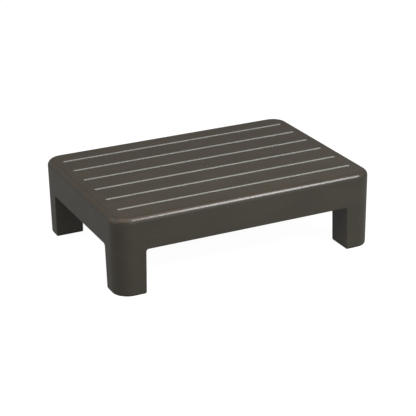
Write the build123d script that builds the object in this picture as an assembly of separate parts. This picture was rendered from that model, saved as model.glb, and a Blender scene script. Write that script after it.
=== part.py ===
from build123d import *

import os
from math import radians, tan

# Step stool: one moulded plastic body with four hollow legs, six anti-slip strips and four rubber feet.
#
# The body is a single injection moulding: a flat deck with a rounded rim, an apron all round, and a hollow
# box leg at each corner. Everything under the deck is drafted so that the core pulls straight down. A grid
# of ribs stiffens the deck. Six elastomer strips sit in grooves in the deck, and a rubber foot closes the
# open end of each leg. Nothing moves.
#
# Frame: millimetres, +Z up, +X along the length, origin on the floor under the middle of the stool.

# Overall sizes
length = 450.0  # along X, at the deck
depth = 320.0  # along Y, at the deck
deck_height = 128.0  # floor to deck surface

# Body outline
corner_radius = 28.0  # corners of the plan
rim_radius = 10.0  # edge between deck and apron
apron_depth = 55.0  # deck surface to the apron's lower edge
leg_width = 49.5  # each way, at the apron's lower edge
outer_draft = 0.4  # degrees, outside faces, narrower towards the floor
inner_draft = 1.2  # degrees, faces between the legs, legs thinner towards the floor
core_draft = 0.3  # degrees, hollow faces, hollows narrower towards the deck
opening_radius = 4.0  # where the apron's lower edge meets a leg
mouth_radius = 1.5  # rounding of the apron's and legs' outside edges
leg_edge_radius = 2.0  # upright edge of each leg that faces the middle

# Wall thicknesses and ribs
deck_thickness = 4.0
wall = 3.0  # apron and leg walls, at the lower edge
rib_thickness = 2.5
rib_depth = 24.0
cross_ribs = 9  # ribs along Y

# Anti-slip strips
strip_count = 6
strip_side_margin = 42.5  # side of the deck to the middle of the first strip
strip_end_margin = 21.0  # end of the deck to the end of a strip
strip_width = 4.0
strip_proud = 0.6  # above the deck
strip_edge_radius = 0.45
groove_depth = 2.2
groove_clearance = 0.1  # each side of a strip

# Mark of the moulding gate, in the middle of the deck
gate_dish_diameter = 12.0
gate_dish_depth = 0.9
gate_lip_radius = 0.45  # of the rounded lip round the dish
gate_lip_proud = 0.3  # above the deck
gate_nub_diameter = 3.0
gate_nub_drop = 0.3  # top of the nub below the deck

# Feet
foot_thickness = 2.0  # rubber between the leg's end and the floor
foot_inset = 0.5  # edge of the sole inside the leg's face
foot_plug_height = 13.0
foot_plug_wall = 3.0
foot_plug_clearance = 0.3  # each side, in the leg
foot_lip_height = 1.2
foot_lip_proud = 0.12
foot_lips = 2
sole_edge_radius = 0.7
sole_corner_radius = 1.6
tread_grooves = 5
tread_groove_width = 2.2
tread_groove_depth = 0.8

# Sizes that follow from the ones above
strip_pitch = (depth - 2 * strip_side_margin) / (strip_count - 1)
strip_length = length - 2 * strip_end_margin
apron_bottom = deck_height - apron_depth
deck_underside = deck_height - deck_thickness
rib_bottom = deck_underside - rib_depth
leg_end = foot_thickness
tool_margin = 5.0  # how far a cutting shape runs past what it cuts
nearly = 0.01  # slack when edges are picked by where they lie


def outer_inset(z):
    """How far the outside face at height z lies inside the deck's outline."""
    return (deck_height - z) * tan(radians(outer_draft))


def leg_inner_face(half_size, z):
    """Distance from the middle to the face of a leg that looks inwards, at height z."""
    return half_size - leg_width + (apron_bottom - z) * tan(radians(inner_draft))


def drafted_block():
    """The outside shape of the body before anything is hollowed."""
    plan = Pos(0, 0, deck_height) * RectangleRounded(length, depth, corner_radius)
    block = extrude(plan, amount=deck_height - leg_end, dir=(0, 0, -1), taper=outer_draft)
    rim = block.faces().sort_by(Axis.Z)[-1].edges()
    return fillet(rim, rim_radius)


def passage(z_low, z_high):
    """The cross-shaped space between the legs, out past all four sides, with the inner draft."""
    x_leg = leg_inner_face(length / 2, z_low)
    y_leg = leg_inner_face(depth / 2, z_low)
    cross = Rectangle(2 * x_leg, depth + 2 * tool_margin)
    cross += Rectangle(length + 2 * tool_margin, 2 * y_leg)
    on_leg = [v for v in cross.vertices() if abs(v.X) < x_leg + nearly and abs(v.Y) < y_leg + nearly]
    plan = Pos(0, 0, z_low) * fillet(on_leg, leg_edge_radius)
    return extrude(plan, amount=z_high - z_low, taper=inner_draft)


def under_deck():
    """The passage below the apron, with the corners rounded where a leg meets the apron's lower edge."""
    space = passage(leg_end - tool_margin, apron_bottom)
    top = space.faces().sort_by(Axis.Z)[-1].edges()
    inside = [e for e in top if abs(e.center().X) < length / 2 and abs(e.center().Y) < depth / 2]
    return fillet(inside, opening_radius)


def apron_hollow():
    """Space inside the apron and between the legs, from below the apron's edge to the deck."""
    z_low = apron_bottom - opening_radius - tool_margin
    inset = outer_inset(apron_bottom) + wall
    start = Pos(0, 0, z_low) * RectangleRounded(
        length - 2 * inset, depth - 2 * inset, corner_radius - inset
    )
    block = extrude(start, amount=deck_underside - z_low, taper=core_draft)
    return block & passage(z_low, deck_underside + tool_margin)


def rib_positions():
    """Y of the ribs along X, one under each strip, and X of the ribs along Y."""
    along = [(i - (strip_count - 1) / 2) * strip_pitch for i in range(strip_count)]
    bay = (length - 2 * wall) / (cross_ribs + 1)
    across = [(i - (cross_ribs - 1) / 2) * bay for i in range(cross_ribs)]
    return along, across


def rib_grid():
    """All the ribs as one lattice, which runs past the hollow at the top and at the sides."""
    along, across = rib_positions()
    height = rib_depth + tool_margin
    middle = rib_bottom + height / 2
    ribs = [Pos(0, y, middle) * Box(length, rib_thickness, height) for y in along]
    ribs += [Pos(x, 0, middle) * Box(rib_thickness, depth, height) for x in across]
    return Part() + ribs


def leg_outline(offset, edge_radius):
    """Plan of the +X +Y leg at its end, drawn in by offset, with its outer corner rounded."""
    x_out = length / 2 - outer_inset(leg_end) - offset
    y_out = depth / 2 - outer_inset(leg_end) - offset
    x_in = leg_inner_face(length / 2, leg_end) + offset
    y_in = leg_inner_face(depth / 2, leg_end) + offset
    plan = Pos((x_in + x_out) / 2, (y_in + y_out) / 2) * Rectangle(x_out - x_in, y_out - y_in)
    inner = plan.vertices().sort_by(lambda v: v.X + v.Y)[:-1]
    plan = fillet(inner, edge_radius)
    outer = plan.vertices().sort_by(lambda v: v.X + v.Y)[-1]
    return fillet(outer, corner_radius - outer_inset(leg_end) - offset)


def at_each_corner(shape):
    """The +X +Y shape and its three mirror images, by corner name."""
    back_left = mirror(shape, Plane.YZ)
    return {
        "back_right": shape,
        "back_left": back_left,
        "front_right": mirror(shape, Plane.XZ),
        "front_left": mirror(back_left, Plane.XZ),
    }


def leg_hollow():
    """Space inside the +X +Y leg, open at the leg's end and closed by the deck."""
    plan = Pos(0, 0, leg_end) * leg_outline(wall, sole_corner_radius)
    return extrude(plan, amount=deck_underside - leg_end, taper=core_draft)


def strip_rows():
    """Places of the strips, from the front to the back."""
    along, _ = rib_positions()
    return [Pos(0, y, deck_height - groove_depth) for y in along]


def groove():
    """Cutting shape of one strip's groove, standing on its floor."""
    plan = SlotOverall(strip_length + 2 * groove_clearance, strip_width + 2 * groove_clearance)
    return extrude(plan, amount=groove_depth + tool_margin)


def strip():
    """One anti-slip strip, standing on the floor of its groove, with a flat top."""
    bar = extrude(SlotOverall(strip_length, strip_width), amount=groove_depth + strip_proud)
    return fillet(bar.faces().sort_by(Axis.Z)[-1].edges(), strip_edge_radius)


def gate_mark(shape):
    """The shallow dish, its rounded lip and the nub where the moulding gate was trimmed."""
    half = gate_dish_diameter / 2
    ball_radius = (half**2 + gate_dish_depth**2) / (2 * gate_dish_depth)
    ball_centre = deck_height - gate_dish_depth + ball_radius
    shape -= Pos(0, 0, ball_centre) * Sphere(ball_radius)
    lip_middle = deck_height + gate_lip_proud - gate_lip_radius
    shape += Pos(0, 0, lip_middle) * Torus(half, gate_lip_radius)
    nub_height = deck_thickness / 2
    nub_centre = deck_height - gate_nub_drop - nub_height / 2
    return shape + Pos(0, 0, nub_centre) * Cylinder(gate_nub_diameter / 2, nub_height)


def round_mouths(shape):
    """Rounds the outside edges of the apron's lower edge and of the legs beside the openings."""
    x_face = length / 2 - outer_inset(leg_end)
    y_face = depth / 2 - outer_inset(leg_end)
    x_leg = leg_inner_face(length / 2, leg_end)
    y_leg = leg_inner_face(depth / 2, leg_end)

    def on_mouth(edge):
        middle, box = edge.center(), edge.bounding_box()
        leg_sole = box.size.Z < nearly and box.max.Z < leg_end + nearly
        if leg_sole or box.max.Z > apron_bottom + nearly:
            return False
        front = abs(middle.Y) > y_face - nearly and abs(middle.X) < x_leg + nearly
        side = abs(middle.X) > x_face - nearly and abs(middle.Y) < y_leg + nearly
        return front or side

    return fillet([edge for edge in shape.edges() if on_mouth(edge)], mouth_radius)


def step_body():
    """The single moulding: deck, apron, legs and ribs."""
    body = drafted_block()
    body -= under_deck()
    body = round_mouths(body)
    body -= apron_hollow() - rib_grid()
    for pocket in at_each_corner(leg_hollow()).values():
        body -= pocket
    for place in strip_rows():
        body -= place * groove()
    return gate_mark(body)


def foot():
    """The rubber foot of the +X +Y leg: a ridged sole with a hollow plug that grips inside the leg."""
    sole = extrude(leg_outline(foot_inset, sole_corner_radius), amount=foot_thickness)
    sole = fillet(sole.faces().sort_by(Axis.Z)[0].edges(), sole_edge_radius)
    inset = wall + foot_plug_clearance
    base = Pos(0, 0, foot_thickness)
    plug = extrude(base * leg_outline(inset, sole_corner_radius), amount=foot_plug_height)
    lip_inset = inset - foot_lip_proud
    for i in range(foot_lips):
        z = foot_thickness + foot_plug_height * (i + 1) / (foot_lips + 1)
        lip = leg_outline(lip_inset, sole_corner_radius)
        plug += extrude(Pos(0, 0, z - foot_lip_height / 2) * lip, amount=foot_lip_height)
    core = leg_outline(inset + foot_plug_wall, sole_corner_radius)
    plug -= extrude(base * core, amount=foot_plug_height)
    box = sole.bounding_box()
    grooves = [
        Pos(box.center().X, box.min.Y + box.size.Y * (i + 1) / (tread_grooves + 1), 0)
        * Box(box.size.X + tool_margin, tread_groove_width, 2 * tread_groove_depth)
        for i in range(tread_grooves)
    ]
    return sole + plug - grooves


os.makedirs("parts", exist_ok=True)
export_step(step_body(), "parts/step_body.step")
for number, place in enumerate(strip_rows(), start=1):
    export_step(place * strip(), f"parts/grip_strip_{number}.step")
for corner, shape in at_each_corner(foot()).items():
    export_step(shape, f"parts/foot_{corner}.step")
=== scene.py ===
import math

import bmesh
import bpy
from mathutils import Matrix, Vector


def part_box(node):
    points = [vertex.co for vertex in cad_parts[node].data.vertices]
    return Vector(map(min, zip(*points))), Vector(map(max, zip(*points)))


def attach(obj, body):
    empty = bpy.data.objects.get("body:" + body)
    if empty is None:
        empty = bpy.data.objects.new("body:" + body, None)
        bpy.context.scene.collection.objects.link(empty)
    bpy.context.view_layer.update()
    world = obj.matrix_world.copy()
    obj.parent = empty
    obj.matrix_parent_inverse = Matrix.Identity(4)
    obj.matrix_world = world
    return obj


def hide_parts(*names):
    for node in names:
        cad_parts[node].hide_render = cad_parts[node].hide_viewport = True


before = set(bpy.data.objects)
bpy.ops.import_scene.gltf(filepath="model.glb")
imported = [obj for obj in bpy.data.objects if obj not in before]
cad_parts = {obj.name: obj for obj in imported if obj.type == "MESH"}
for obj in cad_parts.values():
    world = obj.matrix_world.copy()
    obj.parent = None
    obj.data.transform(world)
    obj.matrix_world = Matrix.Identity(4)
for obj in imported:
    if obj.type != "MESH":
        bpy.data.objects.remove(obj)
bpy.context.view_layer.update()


# ---------------------------------------------------------------------------------------------
# Step body. The deck, apron and four hollow legs, one injection moulding in polypropylene that
# is coloured dark bronze right through. The pigment follows the flow of the melt, so its clouds
# are longer than they are wide. The mould is finely spark-eroded, which leaves a satin skin.

millimetre = 0.001
bronze_dark = (0.061, 0.057, 0.046)
bronze_light = (0.073, 0.066, 0.053)
pigment_cloud = 30 * millimetre  # across the flow
flow_stretch = (0.35, 1.0, 1.0)  # clouds run along the length
skin_roughness = (0.24, 0.28)
skin_patch = 22 * millimetre
skin_grain = 0.5 * millimetre
skin_grain_depth = 0.004 * millimetre
sink_wave = 60 * millimetre  # the faint waviness of every moulded panel
sink_depth = 0.10 * millimetre
plastic_ior = 1.6


def new_material(name):
    """A material with a Principled shader and its output, and its node tree."""
    material = bpy.data.materials.new(name)
    material.use_nodes = True
    return material, material.node_tree, material.node_tree.nodes["Principled BSDF"]


def object_space(tree, stretch=(1, 1, 1)):
    """Object coordinates through a Mapping node, as the socket that a pattern reads."""
    place = tree.nodes.new("ShaderNodeTexCoord")
    mapping = tree.nodes.new("ShaderNodeMapping")
    mapping.inputs["Scale"].default_value = stretch
    tree.links.new(place.outputs["Object"], mapping.inputs["Vector"])
    return mapping.outputs["Vector"]


def noise(tree, vector, size, detail=2.0):
    """A noise pattern whose lumps are about size metres across; its value, 0 to 1."""
    pattern = tree.nodes.new("ShaderNodeTexNoise")
    pattern.inputs["Scale"].default_value = 1 / size
    pattern.inputs["Detail"].default_value = detail
    tree.links.new(vector, pattern.inputs["Vector"])
    return pattern.outputs["Fac"]


def spread(tree, value, low, high, start=0.3, end=0.7):
    """Maps a pattern's start to end onto low to high, without running past either."""
    ramp = tree.nodes.new("ShaderNodeMapRange")
    for socket, number in zip(("From Min", "From Max", "To Min", "To Max"), (start, end, low, high)):
        ramp.inputs[socket].default_value = number
    tree.links.new(value, ramp.inputs["Value"])
    return ramp.outputs["Result"]


def two_tone(tree, value, first, second):
    """A colour between first and second, by value; each is a colour or a socket."""
    mix = tree.nodes.new("ShaderNodeMix")
    mix.data_type = "RGBA"
    for socket, colour in zip([s for s in mix.inputs if s.type == "RGBA"], (first, second)):
        if hasattr(colour, "links"):
            tree.links.new(colour, socket)
        else:
            socket.default_value = (*colour, 1)
    tree.links.new(value, mix.inputs["Factor"])
    return next(s for s in mix.outputs if s.type == "RGBA")


def bump(tree, height, depth, under=None):
    """A Bump node of that real depth in metres, on top of another one if under is given."""
    relief = tree.nodes.new("ShaderNodeBump")
    relief.inputs["Distance"].default_value = depth
    tree.links.new(height, relief.inputs["Height"])
    if under:
        tree.links.new(under, relief.inputs["Normal"])
    return relief.outputs["Normal"]


def dress(node_name, material):
    """Gives a CAD node's every material slot the material."""
    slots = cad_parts[node_name].data.materials
    for index in range(len(slots)):
        slots[index] = material


bronze, tree, shader = new_material("bronze_plastic")
pigment = noise(tree, object_space(tree, flow_stretch), pigment_cloud, detail=3)
bronze_mix = two_tone(tree, spread(tree, pigment, 0, 1), bronze_dark, bronze_light)
tree.links.new(bronze_mix, shader.inputs["Base Color"])
on_body = object_space(tree)
patches = spread(tree, noise(tree, on_body, skin_patch), *skin_roughness)
tree.links.new(patches, shader.inputs["Roughness"])
wavy = bump(tree, noise(tree, on_body, sink_wave, detail=0), sink_depth)
grainy = bump(tree, noise(tree, on_body, skin_grain, detail=1), skin_grain_depth, under=wavy)
tree.links.new(grainy, shader.inputs["Normal"])
shader.inputs["IOR"].default_value = plastic_ior
dress("step_body", bronze)


# ---------------------------------------------------------------------------------------------
# Ejector marks. Thin round witness lines that the ejector pins leave in the underside of the
# deck, in the cells between its ribs. They are part of the moulding, in the same plastic.

rib_pitch_along = 44.4 * millimetre
pin_columns = 8
pin_rows = 3
pin_row_pitch = 94 * millimetre
pin_radius = 3 * millimetre
witness_radius = 0.15 * millimetre
witness_level = 124 * millimetre  # underside of the deck
witness_sides = 6
pin_sides = 28


def grow(name, inputs, outline):
    """Runs a Geometry Nodes tree made by outline, and returns its result as a plain mesh object."""
    tree = bpy.data.node_groups.new(name, "GeometryNodeTree")
    tree.interface.new_socket("Geometry", in_out="INPUT", socket_type="NodeSocketGeometry")
    tree.interface.new_socket("Geometry", in_out="OUTPUT", socket_type="NodeSocketGeometry")
    kinds = {float: "NodeSocketFloat", int: "NodeSocketInt", tuple: "NodeSocketVector"}
    identifiers = {}
    for label, value in inputs.items():
        kind = kinds.get(type(value), "NodeSocketMaterial")
        socket = tree.interface.new_socket(label, in_out="INPUT", socket_type=kind)
        identifiers[label] = socket.identifier
    given = tree.nodes.new("NodeGroupInput")
    result = tree.nodes.new("NodeGroupOutput")
    tree.links.new(outline(tree, given.outputs), result.inputs["Geometry"])

    seed = bpy.data.objects.new(name, bpy.data.meshes.new(name + "_seed"))
    bpy.context.scene.collection.objects.link(seed)
    modifier = seed.modifiers.new(name, "NODES")
    modifier.node_group = tree
    for label, value in inputs.items():
        modifier[identifiers[label]] = value
    evaluated = seed.evaluated_get(bpy.context.evaluated_depsgraph_get())
    mesh = bpy.data.meshes.new_from_object(evaluated)
    mesh.name = name
    seed.modifiers.remove(modifier)
    seed.data = mesh
    return seed


def node(tree, kind, links=None, **values):
    """A node with its sockets set: links joins sockets by name, values sets the node's own fields."""
    made = tree.nodes.new(kind)
    for field, value in values.items():
        setattr(made, field, value)
    for socket, value in (links or {}).items():
        target = made.inputs[socket]
        if isinstance(value, bpy.types.NodeSocket):
            tree.links.new(value, target)
        else:
            target.default_value = value
    return made


def formula(tree, operation, *terms):
    """A Math node's value; each term is a socket or a number."""
    return node(tree, "ShaderNodeMath", dict(enumerate(terms)), operation=operation).outputs[0]


def realized(tree, instances, material):
    """Realize Instances, smooth shading and Set Material, which every tree ends with."""
    real = node(tree, "GeometryNodeRealizeInstances", {"Geometry": instances})
    smooth = node(tree, "GeometryNodeSetShadeSmooth", {"Geometry": real.outputs[0]})
    dressed = node(tree, "GeometryNodeSetMaterial",
                   {"Geometry": smooth.outputs[0], "Material": material})
    return dressed.outputs[0]


def witness_rings(tree, given):
    """One ring swept round a circle, put at every point of a level grid."""
    path = node(tree, "GeometryNodeCurvePrimitiveCircle",
                {"Resolution": given["Pin sides"], "Radius": given["Pin radius"]})
    section = node(tree, "GeometryNodeCurvePrimitiveCircle",
                   {"Resolution": given["Line sides"], "Radius": given["Line radius"]})
    ring = node(tree, "GeometryNodeCurveToMesh",
                {"Curve": path.outputs["Curve"], "Profile Curve": section.outputs["Curve"]})
    grid = node(tree, "GeometryNodeMeshGrid",
                {"Size X": given["Length"], "Size Y": given["Depth"],
                 "Vertices X": given["Columns"], "Vertices Y": given["Rows"]})
    level = node(tree, "GeometryNodeTransform",
                 {"Geometry": grid.outputs["Mesh"], "Translation": given["Middle"]})
    rings = node(tree, "GeometryNodeInstanceOnPoints",
                 {"Points": level.outputs[0], "Instance": ring.outputs["Mesh"]})
    return realized(tree, rings.outputs[0], given["Plastic"])


ejector_marks = grow("ejector_marks", {
    "Pin radius": pin_radius,
    "Pin sides": pin_sides,
    "Line radius": witness_radius,
    "Line sides": witness_sides,
    "Length": rib_pitch_along * (pin_columns - 1),
    "Depth": pin_row_pitch * (pin_rows - 1),
    "Columns": pin_columns,
    "Rows": pin_rows,
    "Middle": (0.0, 0.0, witness_level),
    "Plastic": bronze,
}, witness_rings)
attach(ejector_marks, "root")


# ---------------------------------------------------------------------------------------------
# Anti-slip strips. Six lengths of light grey elastomer cord, pressed into grooves in the deck
# and a little proud of it. Fine ridges run across the top of each one, and its ends are rounded.

strip_nodes = [f"grip_strip_{number}" for number in range(1, 7)]
strip_low, strip_high = (Vector(corner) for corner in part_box(strip_nodes[0]))
last_low, last_high = (Vector(corner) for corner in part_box(strip_nodes[-1]))
strip_size = strip_high - strip_low
strip_pitch = (last_low.y - strip_low.y) / (len(strip_nodes) - 1)
strip_middle = (strip_low + last_high) / 2
strip_edge = 0.45 * millimetre
ridge_pitch = 1.0 * millimetre
ridge_depth = 0.04 * millimetre
ridge_steps = 3  # stations along one ridge
end_flat = 0.03  # how far the rounded end stops short of a point, as a share of its radius
edge_steps = 2

elastomer_pale = (0.377, 0.420, 0.411)
elastomer_dull = (0.332, 0.369, 0.357)
elastomer_valley_shade = (0.25, 0.25, 0.24)  # painted shade: the darker colour laid into the valleys between the ridges
valley_shade_start = 0.4  # how deep between the ridges it starts, 0 at a crest and 1 at a valley
valley_shade_cover = 0.4  # how much of the colour it hides in a valley
elastomer_wear = 12 * millimetre
elastomer_roughness = (0.55, 0.68)
elastomer_grain = 0.6 * millimetre
elastomer_grain_depth = 0.006 * millimetre

elastomer, tree, shader = new_material("strip_elastomer")
on_strip = object_space(tree)
handled = noise(tree, on_strip, elastomer_wear, detail=3)
worn_colour = two_tone(tree, spread(tree, handled, 0, 1), elastomer_pale, elastomer_dull)
between = tree.nodes.new("ShaderNodeAttribute")
between.attribute_name = "between_ridges"
# Painted shade: the strip's colour darkens towards the valleys between the ridges, by the
# between_ridges attribute.
valley_shade_amount = spread(tree, between.outputs["Fac"], 0, valley_shade_cover, start=valley_shade_start, end=1.0)
valley_shaded_colour = two_tone(tree, valley_shade_amount, worn_colour, elastomer_valley_shade)
tree.links.new(valley_shaded_colour, shader.inputs["Base Color"])
tree.links.new(spread(tree, handled, *elastomer_roughness), shader.inputs["Roughness"])
fine = bump(tree, noise(tree, on_strip, elastomer_grain), elastomer_grain_depth)
tree.links.new(fine, shader.inputs["Normal"])


def ridged_strips(tree, given):
    """A rounded bar swept along X, ridged across its top, rounded at its ends and put in a row."""
    line = node(tree, "GeometryNodeCurvePrimitiveLine", {
        "Start": node(tree, "ShaderNodeCombineXYZ",
                      {"X": formula(tree, "MULTIPLY", given["Length"], -0.5)}).outputs[0],
        "End": node(tree, "ShaderNodeCombineXYZ",
                    {"X": formula(tree, "MULTIPLY", given["Length"], 0.5)}).outputs[0],
    })
    stations = node(tree, "GeometryNodeResampleCurve",
                    {"Curve": line.outputs["Curve"], "Length": given["Station"]}, mode="LENGTH")
    upright = node(tree, "GeometryNodeSetCurveNormal", {"Curve": stations.outputs[0]}, mode="Z_UP")
    box = node(tree, "GeometryNodeCurvePrimitiveQuadrilateral",
               {"Width": given["Width"], "Height": given["Height"]})
    section = node(tree, "GeometryNodeFilletCurve",
                   {"Curve": box.outputs[0], "Radius": given["Edge"], "Count": given["Edge steps"]},
                   mode="POLY")
    bar = node(tree, "GeometryNodeCurveToMesh", {
        "Curve": upright.outputs[0], "Profile Curve": section.outputs[0], "Fill Caps": True,
    })

    place = node(tree, "GeometryNodeInputPosition").outputs[0]
    along = node(tree, "ShaderNodeSeparateXYZ", {"Vector": place})
    x, y, z = (along.outputs[axis] for axis in "XYZ")
    turns = formula(tree, "MULTIPLY", formula(tree, "DIVIDE", x, given["Ridge pitch"]), 2 * math.pi)
    valley = formula(tree, "MULTIPLY_ADD", formula(tree, "COSINE", turns), -0.5, 0.5)
    marked = node(tree, "GeometryNodeStoreNamedAttribute", {
        "Geometry": bar.outputs[0], "Name": "between_ridges", "Value": valley,
    }, data_type="FLOAT", domain="POINT")

    top = formula(tree, "MULTIPLY", given["Height"], 0.5)
    below_top = formula(tree, "SUBTRACT", top, z)
    on_top = formula(tree, "SUBTRACT", 1.0, formula(tree, "DIVIDE", below_top, given["Edge"]))
    on_top = formula(tree, "MAXIMUM", on_top, 0.0)
    half_width = formula(tree, "MULTIPLY", given["Width"], 0.5)
    from_end = formula(tree, "SUBTRACT", formula(tree, "MULTIPLY", given["Length"], 0.5),
                       formula(tree, "ABSOLUTE", x))
    into_end = formula(tree, "SUBTRACT", 1.0, formula(tree, "DIVIDE", from_end, half_width))
    into_end = formula(tree, "MULTIPLY", formula(tree, "MAXIMUM", into_end, 0.0), given["End fill"])
    squared = formula(tree, "MULTIPLY", into_end, into_end)
    narrowing = formula(tree, "SQRT", formula(tree, "SUBTRACT", 1.0, squared))
    end_drop = formula(tree, "MULTIPLY", formula(tree, "SUBTRACT", 1.0, narrowing), given["Edge"])
    drop = formula(tree, "MULTIPLY_ADD", valley, given["Ridge depth"], end_drop)
    moved = node(tree, "ShaderNodeCombineXYZ", {
        "X": x,
        "Y": formula(tree, "MULTIPLY", y, narrowing),
        "Z": formula(tree, "SUBTRACT", z, formula(tree, "MULTIPLY", drop, on_top)),
    })
    shaped = node(tree, "GeometryNodeSetPosition",
                  {"Geometry": marked.outputs[0], "Position": moved.outputs[0]})

    steps = formula(tree, "SUBTRACT", given["Count"], 1.0)
    first = formula(tree, "MULTIPLY", formula(tree, "MULTIPLY", steps, given["Pitch"]), -0.5)
    row = node(tree, "GeometryNodeMeshLine", {
        "Count": given["Count"],
        "Start Location": node(tree, "ShaderNodeCombineXYZ", {"Y": first}).outputs[0],
        "Offset": node(tree, "ShaderNodeCombineXYZ", {"Y": given["Pitch"]}).outputs[0],
    }, mode="OFFSET")
    placed = node(tree, "GeometryNodeTransform",
                  {"Geometry": row.outputs[0], "Translation": given["Middle"]})
    strips = node(tree, "GeometryNodeInstanceOnPoints",
                  {"Points": placed.outputs[0], "Instance": shaped.outputs[0]})
    return realized(tree, strips.outputs[0], given["Elastomer"])


anti_slip_strips = grow("anti_slip_strips", {
    "Length": strip_size.x,
    "Width": strip_size.y,
    "Height": strip_size.z,
    "Edge": strip_edge,
    "Edge steps": edge_steps,
    "Station": ridge_pitch / ridge_steps,
    "Ridge pitch": ridge_pitch,
    "Ridge depth": ridge_depth,
    "End fill": 1 - end_flat,
    "Count": len(strip_nodes),
    "Pitch": strip_pitch,
    "Middle": tuple(strip_middle),
    "Elastomer": elastomer,
}, ridged_strips)
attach(anti_slip_strips, "root")
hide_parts(*strip_nodes)


# ---------------------------------------------------------------------------------------------
# Feet. Black rubber mouldings whose plugs are pushed into the open ends of the legs. Only the
# edge of the sole shows, under the leg, and it is a little dusty.

rubber_black = (0.012, 0.012, 0.012)
rubber_dusty = (0.030, 0.029, 0.027)
rubber_bloom = 6 * millimetre
rubber_roughness = (0.62, 0.80)
rubber_grain = 0.8 * millimetre
rubber_grain_depth = 0.010 * millimetre

rubber, tree, shader = new_material("foot_rubber")
on_foot = object_space(tree)
bloom = noise(tree, on_foot, rubber_bloom, detail=4)
rubber_mix = two_tone(tree, spread(tree, bloom, 0, 1), rubber_black, rubber_dusty)
tree.links.new(rubber_mix, shader.inputs["Base Color"])
tree.links.new(spread(tree, bloom, *rubber_roughness), shader.inputs["Roughness"])
rubbery = bump(tree, noise(tree, on_foot, rubber_grain), rubber_grain_depth)
tree.links.new(rubbery, shader.inputs["Normal"])
for corner in ("front_left", "front_right", "back_left", "back_right"):
    dress("foot_" + corner, rubber)


# ---------------------------------------------------------------------------------------------
# The stage: a plain white floor under a white dome, one softbox at the front right, weaker panels
# overhead and all round, and a camera that looks down on the front left corner with a long lens.

floor_half = 12.0
white_floor_colour = (0.2, 0.2, 0.2)
white_floor_glow = 0.97
white_floor_drop = 0.1 * millimetre  # under the soles, so that the two don't coincide
dome_colour = (0, 0, 0)
dome_glow = 1.0
grey_floor_colour = (0.10, 0.11, 0.10)
grey_floor_glow = 0.18
grey_floor_drop = 1.0 * millimetre
room_colour = (0.96, 1.0, 0.95)
room_glow = 0.14


def level_square():
    """A square on the ground, with the stool at its middle."""
    shape = bmesh.new()
    for x, y in ((-1, -1), (1, -1), (1, 1), (-1, 1)):
        shape.verts.new((x * floor_half, y * floor_half, 0))
    shape.faces.new(shape.verts)
    return shape


def dome():
    """A ball that meets the floor in a circle; only its upper half shows."""
    shape = bmesh.new()
    bmesh.ops.create_uvsphere(shape, u_segments=64, v_segments=32, radius=floor_half)
    return shape


def stage_surface(name, shape, colour, glow):
    """A part of the stage in that shape, in a matt material of that colour, with that glow."""
    mesh = bpy.data.meshes.new(name)
    shape.to_mesh(mesh)
    shape.free()
    surface = bpy.data.objects.new(name, mesh)
    bpy.context.scene.collection.objects.link(surface)
    material, tree, shader = new_material(name)
    shader.inputs["Base Color"].default_value = (*colour, 1)
    shader.inputs["Roughness"].default_value = 1.0
    shader.inputs["Specular IOR Level"].default_value = 0.0
    shader.inputs["Emission Color"].default_value = (1, 1, 1, 1)
    shader.inputs["Emission Strength"].default_value = glow
    material.cycles.emission_sampling = "NONE"  # rays find the glow; it isn't aimed at as a lamp is
    mesh.materials.append(material)
    return surface


# Only the camera sees the white surfaces. The grey floor lights the stool from below instead.
white_floor = stage_surface("white_floor", level_square(), white_floor_colour, white_floor_glow)
white_dome = stage_surface("white_dome", dome(), dome_colour, dome_glow)
for backdrop in (white_floor, white_dome):
    backdrop.visible_diffuse = False
    backdrop.visible_glossy = False
    backdrop.visible_shadow = False
grey_floor = stage_surface("grey_floor", level_square(), grey_floor_colour, grey_floor_glow)
grey_floor.visible_camera = False
white_floor.data.transform(Matrix.Translation((0, 0, -white_floor_drop)))
grey_floor.data.transform(Matrix.Translation((0, 0, -grey_floor_drop)))

world = bpy.data.worlds.new("studio")
bpy.context.scene.world = world
world.use_nodes = True
room = world.node_tree.nodes["Background"]
room.inputs["Color"].default_value = (*room_colour, 1)
room.inputs["Strength"].default_value = room_glow


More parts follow.
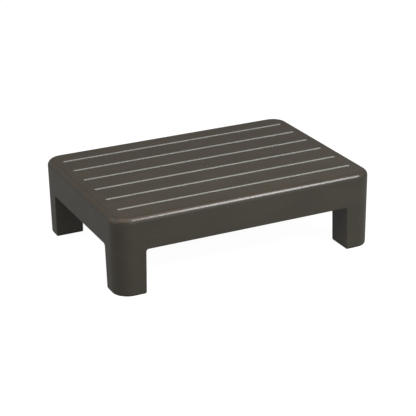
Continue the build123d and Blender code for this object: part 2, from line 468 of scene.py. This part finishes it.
def panel(name, direction, distance, size, radiance, colour=(1, 1, 1)):
    """A softbox of that size, that far off in that direction, which faces the stool; radiance is
    how bright its face looks."""
    light = bpy.data.lights.new(name, "AREA")
    light.shape = "RECTANGLE"
    light.size, light.size_y = size
    light.energy = radiance * math.pi * size[0] * size[1]
    light.color = colour
    lamp = bpy.data.objects.new(name, light)
    bpy.context.scene.collection.objects.link(lamp)
    towards = Vector(direction).normalized()
    turn = towards.to_track_quat("Z", "Y").to_matrix().to_4x4()
    lamp.matrix_world = Matrix.Translation(towards * distance) @ turn


panel("key_softbox", (0.40, -0.62, 0.68), 1.7, (0.62, 0.62), 12.2)
panel("overhead_panel", (-0.20, -0.45, 0.87), 0.9, (1.2, 1.0), 1.05, (1.0, 0.74, 0.63))
panel("left_panel", (-0.88, 0.22, 0.42), 3.0, (3.4, 2.8), 0.64, (1.0, 0.95, 0.92))
panel("back_left_panel", (-0.48, 0.84, 0.30), 3.0, (2.6, 2.3), 0.2, (1.0, 0.86, 0.74))
panel("back_right_panel", (0.80, 0.60, 0.50), 3.0, (1.6, 1.2), 0.05)
panel("back_panel", (0.40, 0.83, 0.38), 3.0, (2.4, 1.2), 0.06, (1.0, 0.80, 0.60))
panel("front_panel", (0.15, -0.95, 0.18), 3.0, (1.6, 1.0), 0.7, (0.88, 1.0, 0.94))

camera_azimuth = math.radians(-25.42)
camera_elevation = math.radians(22.33)
camera_roll = math.radians(-0.94)
camera_distance = 2.2829
camera_aim = Vector((0.00372, 0, 0.04853))
camera_lens = 118.69
camera_sensor = 36
nearest_seen = 0.1
farthest_seen = 50

camera_data = bpy.data.cameras.new("camera")
camera_data.lens = camera_lens
camera_data.sensor_width = camera_sensor
camera_data.clip_start = nearest_seen
camera_data.clip_end = farthest_seen
camera = bpy.data.objects.new("camera", camera_data)
bpy.context.scene.collection.objects.link(camera)
back = Vector((
    math.sin(camera_azimuth) * math.cos(camera_elevation),
    -math.cos(camera_azimuth) * math.cos(camera_elevation),
    math.sin(camera_elevation),
))
aim = (-back).to_track_quat("-Z", "Y").to_matrix().to_4x4()
place = Matrix.Translation(camera_aim + back * camera_distance)
camera.matrix_world = place @ aim @ Matrix.Rotation(camera_roll, 4, "Z")
bpy.context.scene.camera = camera
bpy.context.scene.view_settings.view_transform = "Standard"
